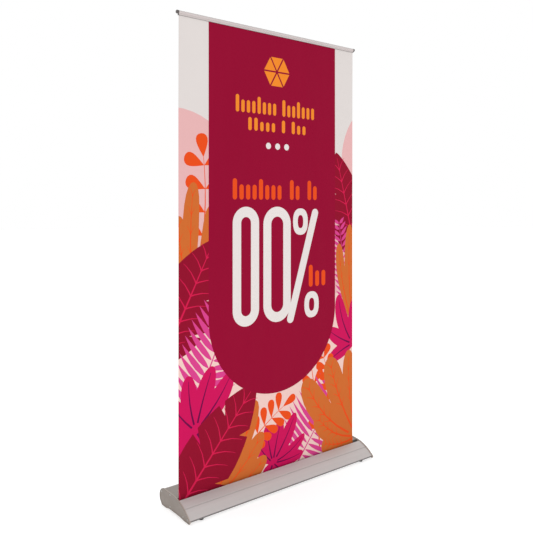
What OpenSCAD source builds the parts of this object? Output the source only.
// Roll-up banner stand with a wide wedge-shaped cassette.
// X runs along the cassette, -Y is the printed side, Z is up. The origin lies on the floor under the middle.

/* [Banner] */
// Width of the printed sheet
sheet_w = 1000; // [600:10:1200]
// Height of print seen between the cassette and the top rail
sheet_visible_h = 1960; // [1900:10:2040]
// Thickness of the sheet
sheet_t = 0.4; // [0.3:0.05:0.5]
// Distance of the sheet's plane in front of the origin
sheet_front = 18; // [17:0.5:19]

/* [Cassette] */
// Gap between the sheet's left edge and the inside of the left end cap
left_gap = 6; // [6:1:10]
// Gap between the sheet's right edge and the inside of the right end cap
right_gap = 34; // [30:1:36]
// Radius of the rounded back, measured on the end cap
barrel_r = 36; // [35.5:0.5:37]
// Distance of the rounded back's centre behind the origin
barrel_back = 85.5; // [84.5:0.5:86.5]
// How far the end caps stand proud of the extrusions
cap_proud = 3; // [2:0.5:4]
// Wall thickness of the extrusions
wall = 2.2; // [2:0.1:2.4]
// Width of the slot that the sheet leaves through
slot_w = 18; // [17:0.5:19]
// Thickness of an end cap's plate
cap_t = 4; // [4:0.5:6]
// Height of the raised rim round an end cap
rim_t = 1; // [1:0.5:2]
// Extra height of the extrusions' floor above the end caps' lower edge
floor_lift = 4; // [3.5:0.5:4]

/* [Roller] */
// Outer radius of the roller tube
roller_r = 15; // [14:0.5:15]
// Thickness of the leader wound on the tube
leader_t = 0.6; // [0.4:0.1:0.8]
// Radius of the steel spring shaft
shaft_r = 4; // [3.5:0.5:4.5]
// Number of turns of the torsion spring
spring_turns = 22; // [18:1:24]

/* [Pole] */
// Outer radius of the lower pole tube
lower_r = 11; // [10.5:0.25:11]
// Outer radius of the middle pole tube
middle_r = 9.5; // [9.25:0.25:9.5]
// Outer radius of the upper pole tube
upper_r = 8; // [7.75:0.25:8]
// Distance that each tube can be pushed down into the one below
pole_travel = 600; // [500:10:600]

/* [Top rail] */
// How far each end of the rail runs past the sheet
rail_over = 1; // [0.5:0.5:1]
// Outer radius of the rail's round bead
bead_r = 6.5; // [6:0.5:7]
// Length of the clamping jaws below the bead's centre
jaw_h = 13; // [13:0.5:15]

/* [Feet] */
// Distance of each levelling foot from the middle
leveller_x = 458; // [430:2:480]
// Radius of a levelling foot's pad
leveller_pad_r = 11; // [9:1:11]
// Distance of each rear rubber pad from the middle
rear_pad_x = 430; // [300:10:450]

/* [Hidden] */
$fn = 96;

// Colours
silver = [0.78, 0.77, 0.76];
cap_grey = [0.62, 0.60, 0.58];
dark_grey = [0.24, 0.24, 0.25];
black = [0.07, 0.07, 0.07];
steel = [0.58, 0.58, 0.6];

// Running fit, loose fit, overlap of two shapes that fuse, and how far a cutter runs past a face
run_gap = 0.05;
fit_gap = 0.2;
lap = 0.5;
cut = 5;

// Cassette section, as distances along Y and Z
top_z = 74;
under_z = 5;
heel_z = 2;
heel_y = [65, 102];
heel_back = [7, 9];
arch_z = 8.5;
arch_y = [-47, 41];
arch_foot_y = -80;
toe_r = 7;
toe_centre = [-barrel_back - barrel_r + toe_r, under_z + toe_r];
barrel_centre = [barrel_back, top_z - barrel_r];
// The ramp is one arc, level where it meets the flat deck at apex_y and tangent to the toe's circle.
apex_y = 18;
toe_drop = top_z - toe_centre[1];
toe_run = apex_y - toe_centre[0];
ramp_r = (toe_drop * toe_drop + toe_run * toe_run - toe_r * toe_r) / (2 * (toe_drop - toe_r));
ramp_centre = [apex_y, top_z - ramp_r];
toe_normal = (toe_centre - ramp_centre) / (ramp_r - toe_r);
case_x = (sheet_w + left_gap + right_gap) / 2;
sheet_x = (left_gap - right_gap) / 2;
sheet_ends = [sheet_x - sheet_w / 2, sheet_x + sheet_w / 2];
skin = cap_proud;
inner = cap_proud + wall;
base_z = under_z + skin + floor_lift;
floor_z = base_z + wall;
slot_behind = 6;
slot_rear = slot_behind - sheet_front;
slot_front = slot_rear - slot_w;
floor_front = -89;
split_z = 20;
far = [130, 90];
tongue = [10, 2];
tongue_root = 4;
web_y = 35;
rim_w = 4;
trim_t = 1.2;
lip_h = 11;

// Height of the extrusions' surface at distance y, in front of apex_y.
function skin_z(y) = ramp_centre[1] + sqrt(pow(ramp_r - skin, 2) - pow(y - apex_y, 2));
ramp_z = skin_z(slot_front);
deck_z = skin_z(slot_rear);

// Groove along the ramp
groove_y = -77;
groove_w = 4;
groove_d = 1.2;

// Screws, and the ports that the end caps' screws go into
screw_r = 1.5;
screw_hole_r = 1.6;
screw_head_r = 3.2;
small_head_r = 2.8;
screw_head_t = 1.7;
screw_len = 16;
head_sink = 2;
recess_z = 1;
recess_w = 0.9;
recess_reach = 0.6;
port_r = 3.6;
port_low_z = floor_z + 3;
port_reach = barrel_r - inner - 2.6;
ports = [
    barrel_centre + port_reach * [cos(39), sin(39)],
    [web_y + 1, 66], [web_y + 1, port_low_z], [-69, port_low_z], [-102, port_low_z]];

// Roller
roll_gap = 0.3;
roller_y = -sheet_front - sheet_t / 2 - roll_gap - roller_r - leader_t;
roller_z = 34;
tube_wall = 1.5;
bracket_t = [3.5, 7.5];
bracket_r = 19;
bracket_screw = [13, -16.5];
flange_t = [1.8, 5.5];
flange_gap = [0.2, 1];
flange_r = 16.8;
roller_ends = [
    -case_x + bracket_t[0] + flange_gap[0] + flange_t[0],
    case_x - bracket_t[1] - flange_gap[1] - flange_t[1]];
plug_depth = 24;
shaft_end = -180;
press_gap = 0.02;
anchor_x = -250;
anchor_w = 10;
anchor_r = 12;
bush_x = -205;
bush_w = 12;
spring_r = 8.5;
spring_wire = 0.8;
spring_x = [-470, anchor_x - 2];
spring_steps = 10;
spring_sides = 5;

// Heights of the rail
print_foot = 4;
rail_z = ramp_z - print_foot + sheet_visible_h;
bead_z = rail_z + jaw_h;
sheet_top = bead_z - 4.6;

// Pole
pole_y = 6;
tube_t = [1.2, 1.1, 1.0];
socket_r = 12.4;
socket_gap = 0.15;
socket_floor = 3;
socket_plate = [48, 32];
socket_plate_y = slot_rear + 2.6;
socket_flange = 2.6;
socket_screw_x = 17.5;
socket_screw_len = 10;
foot_shoulder = 2.8;
foot_plug_h = 8;
lock_base_h = 20;
lock_base_t = 3;
lock_ring_h = 27.5;
grip_r = [15, 13.5];
grip_gap = 0.35;
flute_r = 1.6;
flute_out = 0.7;
flute_ends = [5, 4];
flute_angle = 30;
step_gap = 0.3;
step_z = pole_travel + lock_base_h + lock_ring_h + 4.5;
tube_lap = 62;
head_z = rail_z - 15;
lower_z = [floor_z + socket_floor + foot_shoulder, head_z - 2 * step_z];
middle_z = [lower_z[1] - tube_lap, lower_z[1] + step_z];
upper_z = [middle_z[1] - tube_lap, head_z];
guide_h = 8;
guide_len = 30;
head_r = 10.5;
head_lap = 20;
arm = [14, 8];
arm_front = 5;
hook_z = rail_z - 2.8;
pin_r = 3;
pin_h = 8;
pin_y = -9.5;

// Top rail
rail_x = sheet_w / 2 + rail_over;
core_r = 4.4;
sleeve_r = core_r + 0.15;
sleeve_open = 35;
jaw_t = 2.35;
jaw_gap = 0.25;
jaw_root = 3;
plug_pin_r = 1.5;
plug_pin_len = 12;
plug_pin_gap = 0.1;
plug_head_r = bead_r + 0.7;
plug_len = 9.8;
plug_chamfer = [1.7, 2];
plug_tab = [1.2, 8];
hook_plate_w = 28;
hook_plate_y = [-sheet_front + jaw_gap + jaw_t, pin_y + 5.9];
hook_plate_z = [hook_z + fit_gap, bead_z - 4.2];
plate_screw_x = 10;
plate_screw_z = rail_z + 5;

// Rear pads and levelling feet
rear_pad_half = 25;
rear_pad_r = 12;
leveller_y = -97;
pad_h = 8;
pad_edge = 1;
pad_waist = [1, 5];
insert_r = 7;
insert_top = floor_z + 7;
insert_flange = [10, floor_z + 3];
stem_r = 4;
stem_z = [3, floor_z + 10];
collar = [10, 3];
turn_gap = 0.15;

// Extrudes a section drawn in Y and Z from x0 to x1.
module along_x(x0, x1) {
    translate([x0, 0, 0]) rotate([90, 0, 90]) linear_extrude(x1 - x0) children();
}

// Round bar between two places along X, centred on y and z.
module rod_x(x0, x1, y, z, r) {
    translate([x0, y, z]) rotate([0, 90, 0]) cylinder(r = r, h = x1 - x0);
}

module rod_z(z0, z1, r, y = 0, x = 0) {
    translate([x, y, z0]) cylinder(r = r, h = z1 - z0);
}

module tube_z(z0, z1, r, bore, y = 0) {
    difference() {
        rod_z(z0, z1, r, y);
        rod_z(z0 - cut, z1 + cut, bore, y);
    }
}

module tube_x(x0, x1, y, z, r, bore) {
    difference() {
        rod_x(x0, x1, y, z, r);
        rod_x(x0 - cut, x1 + cut, y, z, bore);
    }
}

// Copies the children at both signs of X.
module both_sides(x) {
    for (s = [-1, 1]) translate([s * x, 0, 0]) children();
}

// Section of the end cap, moved inwards by i all round: ramp, deck, toe, rounded back and heel.
module outline(i) {
    intersection() {
        translate(ramp_centre) circle(r = ramp_r - i, $fn = 360);
        polygon([
            [toe_centre[0], under_z + i], [arch_foot_y, under_z + i], [arch_y[0], arch_z + i],
            [barrel_back, arch_z + i], [barrel_back, far[1]], [toe_centre[0], far[1]],
            toe_centre + far[1] * toe_normal, toe_centre]);
    }
    translate([apex_y, arch_z + i]) square([barrel_back - apex_y, top_z - arch_z - 2 * i]);
    translate(toe_centre) circle(r = toe_r - i);
    translate(barrel_centre) circle(r = barrel_r - i);
    polygon([
        [arch_y[1] + i, arch_z + i], [heel_y[0] + i, heel_z + i], [heel_y[1] - i, heel_z + i],
        [heel_y[1] + heel_back[0] - i, heel_z + heel_back[1] + i], barrel_centre]);
}

// Section of the extrusions: the end cap's, moved inwards by i, with its floor raised in front of the heel.
module section(i) {
    difference() {
        outline(i);
        translate([-far[0], 0]) square([far[0] + heel_y[0] + i, under_z + floor_lift + i]);
    }
}

module shell() {
    difference() {
        section(skin);
        section(inner);
    }
}

module port_ring(p) {
    translate(p) circle(r = port_r);
}

module port_bores(list) {
    for (p = list) translate(p) circle(r = screw_hole_r);
}

// Upright lip on the inside of the slot's edge, from y to y + wall, below height z.
module slot_lip(y, z) {
    intersection() {
        section(skin + lap);
        translate([y, z - lip_h]) square([wall, 2 * lip_h]);
    }
}

// Rear extrusion: floor, rounded back, top and the slot's rear lip.
module housing_rear() color(silver) difference() {
    along_x(-case_x, case_x) difference() {
        union() {
            intersection() {
                shell();
                polygon([
                    [floor_front, 0], [far[0], 0], far, [slot_rear, far[1]],
                    [slot_rear, split_z], [floor_front, split_z]]);
            }
            slot_lip(slot_rear, deck_z);
            intersection() {
                section(skin + 2 * lap);
                union() {
                    translate([web_y, heel_z]) square([wall, top_z]);
                    for (k = [0:3]) port_ring(ports[k]);
                }
            }
        }
        port_bores([for (k = [0:3]) ports[k]]);
    }
    rod_z(split_z + lip_h, top_z + cut, socket_r + fit_gap, pole_y, sheet_x);
    for (s = [-1, 1]) rod_z(split_z + lip_h, top_z + cut, screw_hole_r, pole_y, sheet_x + s * socket_screw_x);
}

// Front extrusion: the ramp with its groove, the toe, the slot's front lip and a tongue over the rear floor.
module housing_front() color(silver) difference() {
    along_x(-case_x, case_x) difference() {
        union() {
            intersection() {
                shell();
                polygon([
                    [-far[0], 0], [floor_front, 0], [floor_front, split_z],
                    [slot_front, split_z], [slot_front, far[1]], [-far[0], far[1]]]);
            }
            slot_lip(slot_front - wall, ramp_z);
            translate([floor_front - tongue_root, floor_z - lap]) square([tongue_root, tongue[1] + lap]);
            translate([floor_front - lap, floor_z]) square([tongue[0] + lap, tongue[1]]);
            intersection() {
                section(skin + 2 * lap);
                port_ring(ports[4]);
            }
        }
        port_bores([ports[4]]);
        intersection() {
            translate([groove_y, 0]) square([groove_w, far[1]]);
            difference() {
                outline(0);
                section(skin + groove_d);
            }
        }
    }
    both_sides(leveller_x) {
        rod_z(0, insert_top + fit_gap, insert_r + fit_gap, leveller_y);
        rod_z(floor_z, insert_flange[1] + fit_gap, insert_flange[0] + fit_gap, leveller_y);
    }
}

// End cap: a plate with a raised rim, sunk for its screws' heads.
module end_cap() {
    difference() {
        union() {
            along_x(case_x, case_x + cap_t) outline(0);
            along_x(case_x + cap_t - lap, case_x + cap_t + rim_t) difference() {
                outline(0);
                outline(rim_w);
            }
        }
        for (p = ports) {
            rod_x(case_x - cut, case_x + cap_t + cut, p[0], p[1], screw_hole_r + fit_gap);
            rod_x(case_x + cap_t - head_sink, case_x + cap_t + cut, p[0], p[1], screw_head_r + fit_gap);
        }
    }
}

module end_cap_right() color(cap_grey) end_cap();

module end_cap_left() color(cap_grey) mirror([1, 0, 0]) end_cap();

// A pan-head screw along -X with a cross recess, its head's seat at x = 0.
module cap_screw(head_r, len) {
    rod_x(-len, run_gap, 0, 0, screw_r);
    difference() {
        rod_x(0, screw_head_t, 0, 0, head_r);
        for (a = [0, 90]) rotate([a, 0, 0]) translate([recess_z, -recess_w / 2, -head_r * recess_reach])
            cube([cut, recess_w, 2 * head_r * recess_reach]);
    }
}

module end_cap_screws() color(steel) {
    for (side = [0, 1]) mirror([side, 0, 0]) for (p = ports)
        translate([case_x + cap_t - head_sink, p[0], p[1]]) cap_screw(screw_head_r, screw_len);
}

// Plastic strip on an edge of the slot, with a rounded top.
module slot_trim(y, z) {
    along_x(-case_x + lap, case_x - lap) union() {
        translate([y, z - lip_h]) square([trim_t, lip_h - trim_t / 2]);
        translate([y + trim_t / 2, z - trim_t / 2]) circle(r = trim_t / 2);
    }
}

module slot_trim_front() color(black) slot_trim(slot_front, ramp_z);

module slot_trim_rear() color(black) slot_trim(slot_rear - trim_t, deck_z);

// Rubber pads under the heel.
module rear_foot_pads() color(black) both_sides(rear_pad_x) {
    hull() {
        for (x = [-rear_pad_half, rear_pad_half])
            rod_z(0, heel_z + skin, rear_pad_r, (heel_y[0] + heel_y[1]) / 2, x, $fn = 32);
    }
}

module leveller_inserts() color(steel) both_sides(leveller_x) {
    difference() {
        union() {
            rod_z(base_z + fit_gap, insert_top, insert_r, leveller_y);
            rod_z(floor_z, insert_flange[1], insert_flange[0], leveller_y);
        }
        rod_z(0, insert_top + cut, stem_r + run_gap, leveller_y);
    }
}

// Threaded stem with a hexagonal collar that turns on the pad.
module leveller_stem(x) color(steel) {
    rod_z(stem_z[0] + turn_gap, stem_z[1], stem_r, leveller_y, x);
    translate([x, leveller_y, pad_h + turn_gap]) cylinder(r = collar[0], h = collar[1], $fn = 6);
}

// Rubber pad, waisted under its top edge, with a socket for the stem.
module leveller_pad(x) color(black) {
    translate([x, leveller_y, 0]) rotate_extrude() polygon([
        [0, 0], [leveller_pad_r - pad_edge, 0], [leveller_pad_r, pad_edge], [leveller_pad_r, pad_waist[1]],
        [leveller_pad_r - pad_waist[0], pad_h], [stem_r + turn_gap, pad_h], [stem_r + turn_gap, stem_z[0]],
        [0, stem_z[0]]]);
}

module leveller_stem_left() leveller_stem(-leveller_x);
module leveller_stem_right() leveller_stem(leveller_x);
module leveller_pad_left() leveller_pad(-leveller_x);
module leveller_pad_right() leveller_pad(leveller_x);

// Bearing block of thickness t on the inside of an end cap, with a bore for the shaft or the pin.
module roller_bracket(t, bore) {
    difference() {
        along_x(case_x - t, case_x) difference() {
            intersection() {
                section(inner + roll_gap);
                translate([roller_y, roller_z]) union() {
                    circle(r = bracket_r);
                    translate([-bracket_r, -far[1]]) square([2 * bracket_r, far[1]]);
                }
            }
            translate([roller_y, roller_z]) circle(r = bore);
        }
        for (s = [-1, 1])
            rod_x(case_x - t - cut, case_x + cut, roller_y + s * bracket_screw[0],
                roller_z + bracket_screw[1], screw_hole_r);
    }
}

module roller_bracket_left() color(dark_grey) {
    mirror([1, 0, 0]) roller_bracket(bracket_t[0], shaft_r + press_gap);
}

module roller_bracket_right() color(dark_grey) roller_bracket(bracket_t[1], shaft_r + run_gap);

module bracket_screws() color(steel) {
    for (side = [0, 1]) mirror([1 - side, 0, 0]) for (s = [-1, 1])
        translate([case_x - bracket_t[side], roller_y + s * bracket_screw[0], roller_z + bracket_screw[1]])
            mirror([1, 0, 0]) cap_screw(small_head_r, bracket_t[side] - fit_gap);
}

// Fixed shaft that the spring works against, held by the left bracket.
module spring_shaft() color(steel) rod_x(-case_x, shaft_end, roller_y, roller_z, shaft_r);

module spring_anchor() color(steel) {
    tube_x(anchor_x, anchor_x + anchor_w, roller_y, roller_z, anchor_r, shaft_r + press_gap);
}

module roller_tube() color(silver) {
    tube_x(roller_ends[0], roller_ends[1], roller_y, roller_z, roller_r, roller_r - tube_wall);
}

module leader_wraps() color("white") {
    tube_x(sheet_ends[0], sheet_ends[1], roller_y, roller_z, roller_r + leader_t, roller_r);
}

// Plug whose flange, of thickness t, closes the roller's end at x.
module roller_plug(x, t) {
    rod_x(x, x + t, roller_y, roller_z, flange_r);
    rod_x(x - plug_depth, x + lap, roller_y, roller_z, roller_r - tube_wall - run_gap);
}

// Left plug, which turns on the fixed shaft.
module roller_plug_left() color(dark_grey) difference() {
    mirror([1, 0, 0]) roller_plug(-roller_ends[0], flange_t[0]);
    rod_x(-case_x, case_x, roller_y, roller_z, shaft_r + run_gap);
}

// Right plug, whose own pin turns in the right bracket.
module roller_plug_right() color(dark_grey) {
    roller_plug(roller_ends[1], flange_t[1]);
    rod_x(roller_ends[1] + lap, case_x - lap, roller_y, roller_z, shaft_r);
}

module shaft_bush() color(dark_grey) {
    tube_x(bush_x, bush_x + bush_w, roller_y, roller_z, roller_r - tube_wall - run_gap, shaft_r + run_gap);
}

// Point on the spring's wire: turn t along the coil, angle a round the wire.
function coil_point(t, a) =
    let (r = spring_r + spring_wire * cos(a), f = t / spring_turns)
    [spring_x[0] + f * (spring_x[1] - spring_x[0]) + spring_wire * sin(a), r * cos(360 * t), r * sin(360 * t)];

module torsion_spring() color(steel) {
    rings = spring_turns * spring_steps;
    n = spring_sides;
    points = [for (i = [0:rings]) for (j = [0:n - 1]) coil_point(i / spring_steps, 360 * j / n)];
    sides = [for (i = [0:rings - 1]) for (j = [0:n - 1])
        [i * n + j, i * n + (j + 1) % n, (i + 1) * n + (j + 1) % n, (i + 1) * n + j]];
    ends = [[for (j = [n - 1:-1:0]) j], [for (j = [0:n - 1]) rings * n + j]];
    translate([0, roller_y, roller_z]) polyhedron(points = points, faces = concat(sides, ends));
}

module banner_sheet() color([0.6, 0.08, 0.22]) {
    translate([sheet_ends[0], -sheet_front - sheet_t / 2, roller_z])
        cube([sheet_w, sheet_t, sheet_top - roller_z]);
}

// Moves the pole and the rail, drawn about x = 0, to the middle of the sheet.
module at_sheet() {
    translate([sheet_x, 0, 0]) children();
}

// Socket for the pole, with a flange whose underside follows the deck.
module pole_socket() color(dark_grey) at_sheet() difference() {
    union() {
        rod_z(floor_z + 2 * run_gap, top_z, socket_r, pole_y);
        difference() {
            translate([-socket_plate[0] / 2, socket_plate_y, deck_z])
                cube([socket_plate[0], socket_plate[1], top_z - skin + socket_flange - deck_z]);
            along_x(-socket_plate[0], socket_plate[0]) section(skin);
        }
    }
    rod_z(floor_z + socket_floor, top_z + cut, lower_r + socket_gap, pole_y);
    for (s = [-1, 1]) rod_z(deck_z - cut, top_z + cut, screw_hole_r, pole_y, s * socket_screw_x);
}

module pole_socket_screws() color(steel) at_sheet() {
    for (s = [-1, 1]) translate([s * socket_screw_x, pole_y, top_z - skin + socket_flange])
        rotate([0, -90, 0]) cap_screw(screw_head_r, socket_screw_len);
}

module pole_lower_tube() color(silver) at_sheet() {
    tube_z(lower_z[0], lower_z[1], lower_r, lower_r - tube_t[0], pole_y);
}

module pole_foot_plug() color(dark_grey) at_sheet() {
    rod_z(floor_z + socket_floor, lower_z[0], lower_r, pole_y);
    rod_z(floor_z + socket_floor + lap, lower_z[0] + foot_plug_h, lower_r - tube_t[0], pole_y);
}

// Collar fixed round the top of a tube of radius r.
module lock_base(z, r) {
    tube_z(z - lock_base_h, z, r + lock_base_t, r, pole_y);
}

// Fluted grip of radius grip that turns on the joint, clear of a tube of radius r.
module lock_ring(z, r, grip) {
    difference() {
        rod_z(z + step_gap, z + step_gap + lock_ring_h, grip, pole_y);
        rod_z(z - cut, z + lock_ring_h + cut, r + grip_gap, pole_y);
        for (a = [0:flute_angle:359]) translate([0, pole_y, 0]) rotate([0, 0, a])
            rod_z(z + flute_ends[0], z + lock_ring_h - flute_ends[1], flute_r, 0, grip + flute_out);
    }
}

module lower_lock_base() color(dark_grey) at_sheet() lock_base(lower_z[1], lower_r);
module lower_lock_ring() color(black) at_sheet() lock_ring(lower_z[1], middle_r, grip_r[0]);
module upper_lock_base() color(dark_grey) at_sheet() lock_base(middle_z[1], middle_r);
module upper_lock_ring() color(black) at_sheet() lock_ring(middle_z[1], upper_r, grip_r[1]);

module pole_middle_tube() color(silver) at_sheet() {
    tube_z(middle_z[0], middle_z[1], middle_r, middle_r - tube_t[1], pole_y);
}

module pole_upper_tube() color(silver) at_sheet() {
    tube_z(upper_z[0], upper_z[1], upper_r, upper_r - tube_t[2], pole_y);
}

// Plug in the foot of a tube whose bore is tube_bore, with a shoulder that fits the tube below it.
module guide_plug(z, tube_bore, outer_bore) {
    rod_z(z - guide_h, z, outer_bore - run_gap, pole_y);
    rod_z(z - lap, z + guide_len, tube_bore - press_gap, pole_y);
}

module middle_guide_plug() color(black) at_sheet() {
    guide_plug(middle_z[0], middle_r - tube_t[1], lower_r - tube_t[0]);
}

module upper_guide_plug() color(black) at_sheet() {
    guide_plug(upper_z[0], upper_r - tube_t[2], middle_r - tube_t[1]);
}

// Head of the pole: a cap on the tube and a flat-fronted arm with a pin that carries the rail.
module pole_hook() color(dark_grey) at_sheet() {
    difference() {
        union() {
            rod_z(upper_z[1] - head_lap, hook_z, head_r, pole_y);
            translate([-arm[0] / 2, pin_y, hook_z - arm[1]]) cube([arm[0], pole_y - pin_y, arm[1]]);
            rod_z(hook_z - arm[1], hook_z, arm[0] / 2, pin_y);
        }
        rod_z(upper_z[1] - head_lap - cut, upper_z[1], upper_r, pole_y);
        translate([-arm[0], pin_y - arm_front - arm[0], hook_z - arm[1] - cut])
            cube([2 * arm[0], arm[0], arm[1] + 2 * cut]);
    }
    rod_z(hook_z - lap, hook_z + pin_h, pin_r, pin_y);
}

// Rear half of the rail: round core and rear jaw.
module rail_back() color(silver) along_x(sheet_x - rail_x, sheet_x + rail_x) difference() {
    union() {
        translate([-sheet_front, bead_z]) circle(r = core_r);
        translate([-sheet_front + jaw_gap, rail_z]) square([jaw_t, jaw_h - jaw_root]);
    }
    translate([-sheet_front, bead_z]) circle(r = plug_pin_r + plug_pin_gap);
}

// Front half: a sleeve that snaps round the core and opens to the rear, with the front jaw below.
module rail_jaw() color(silver) along_x(sheet_x - rail_x, sheet_x + rail_x) translate([-sheet_front, bead_z]) {
    difference() {
        circle(r = bead_r);
        circle(r = sleeve_r);
        polygon([
            [0, 0], jaw_h * [cos(sleeve_open), sin(sleeve_open)], [jaw_h, -jaw_h],
            [-jaw_gap, -jaw_h], [-jaw_gap, 0]]);
    }
    difference() {
        translate([-jaw_gap - jaw_t, -jaw_h]) square([jaw_t, jaw_h - jaw_root]);
        circle(r = sleeve_r);
    }
}

// Plug in the end of the bead, with a thin tab that covers the ends of the jaws.
module rail_plug() {
    translate([rail_x + plug_pin_gap, -sheet_front, bead_z]) {
        rotate([0, 90, 0]) rotate_extrude() polygon([
            [0, -plug_pin_len], [plug_pin_r, -plug_pin_len], [plug_pin_r, 0], [plug_head_r, 0],
            [plug_head_r, plug_len - plug_chamfer[1]], [plug_head_r - plug_chamfer[0], plug_len],
            [0, plug_len]]);
        translate([0, -plug_tab[1] / 2, -jaw_h]) cube([plug_tab[0], plug_tab[1], jaw_h]);
    }
}

module rail_plug_right() color(dark_grey) at_sheet() rail_plug();
module rail_plug_left() color(dark_grey) at_sheet() mirror([1, 0, 0]) rail_plug();

// Block on the rear jaw that drops over the pole's pin.
module rail_hook_plate() color(dark_grey) at_sheet() difference() {
    translate([-hook_plate_w / 2, hook_plate_y[0], hook_plate_z[0]])
        cube([hook_plate_w, hook_plate_y[1] - hook_plate_y[0], hook_plate_z[1] - hook_plate_z[0]]);
    rod_z(hook_z - cut, hook_z + pin_h + 1, pin_r + fit_gap, pin_y);
    for (s = [-1, 1]) translate([s * plate_screw_x, hook_plate_y[1] + cut, plate_screw_z]) rotate([90, 0, 0])
        cylinder(r = screw_hole_r, h = hook_plate_y[1] - hook_plate_y[0] + 2 * cut);
}

module hook_plate_screws() color(steel) at_sheet() {
    for (s = [-1, 1]) translate([s * plate_screw_x, hook_plate_y[1], plate_screw_z]) rotate([0, 0, 90])
        cap_screw(small_head_r, hook_plate_y[1] - hook_plate_y[0] - fit_gap);
}

housing_rear();
housing_front();
end_cap_left();
end_cap_right();
end_cap_screws();
slot_trim_front();
slot_trim_rear();
rear_foot_pads();
leveller_inserts();
leveller_stem_left();
leveller_pad_left();
leveller_stem_right();
leveller_pad_right();
roller_bracket_left();
roller_bracket_right();
bracket_screws();
spring_shaft();
spring_anchor();
roller_tube();
roller_plug_left();
roller_plug_right();
shaft_bush();
torsion_spring();
leader_wraps();
banner_sheet();
pole_socket();
pole_socket_screws();
pole_lower_tube();
pole_foot_plug();
lower_lock_base();
lower_lock_ring();
pole_middle_tube();
middle_guide_plug();
upper_lock_base();
upper_lock_ring();
pole_upper_tube();
upper_guide_plug();
pole_hook();
rail_back();
rail_jaw();
rail_plug_left();
rail_plug_right();
rail_hook_plate();
hook_plate_screws();
